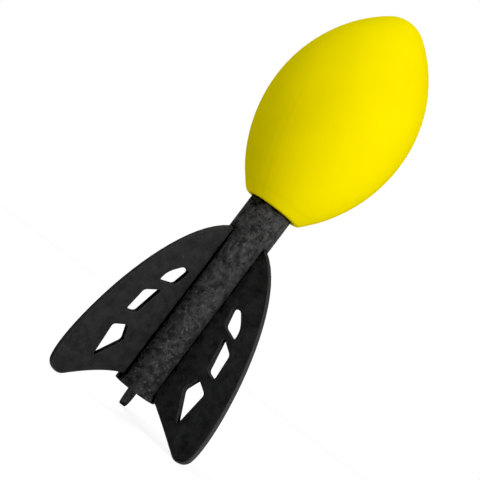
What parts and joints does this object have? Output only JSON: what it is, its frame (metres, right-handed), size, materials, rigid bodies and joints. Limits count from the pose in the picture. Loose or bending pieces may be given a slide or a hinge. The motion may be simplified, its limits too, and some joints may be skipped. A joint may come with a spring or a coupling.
{
  "type": "vortex throwing toy",
  "caption": "Moulded foam football head on a straight foam-sleeved tail with flat cut-out fins, thrown for distance.",
  "frame": {"origin": "middle of the flat end face of the tail", "axes": "+Z along the toy's axis towards the nose; +Y along the second fin; the toy stands nose up on its fin tips"},
  "size_m": [0.1078, 0.1095, 0.305],
  "materials": {
    "head_foam": "smooth satin skin of yellow polyurethane foam",
    "sleeve_foam": "matt charcoal foam with lighter and darker specks",
    "fin_foam": "matt fine-grained black foam sheet",
    "core_plastic": "natural extruded plastic",
    "plug_plastic": "matt black moulded plastic"
  },
  "bodies": {
    "root": {"head": "head_foam", "tail_sleeve": "sleeve_foam", "core_tube": "core_plastic", "anchor_plug": "core_plastic", "tail_plug": "plug_plastic", "fin_1": "fin_foam", "fin_2": "fin_foam", "fin_3": "fin_foam"}
  },
  "joints": []
}
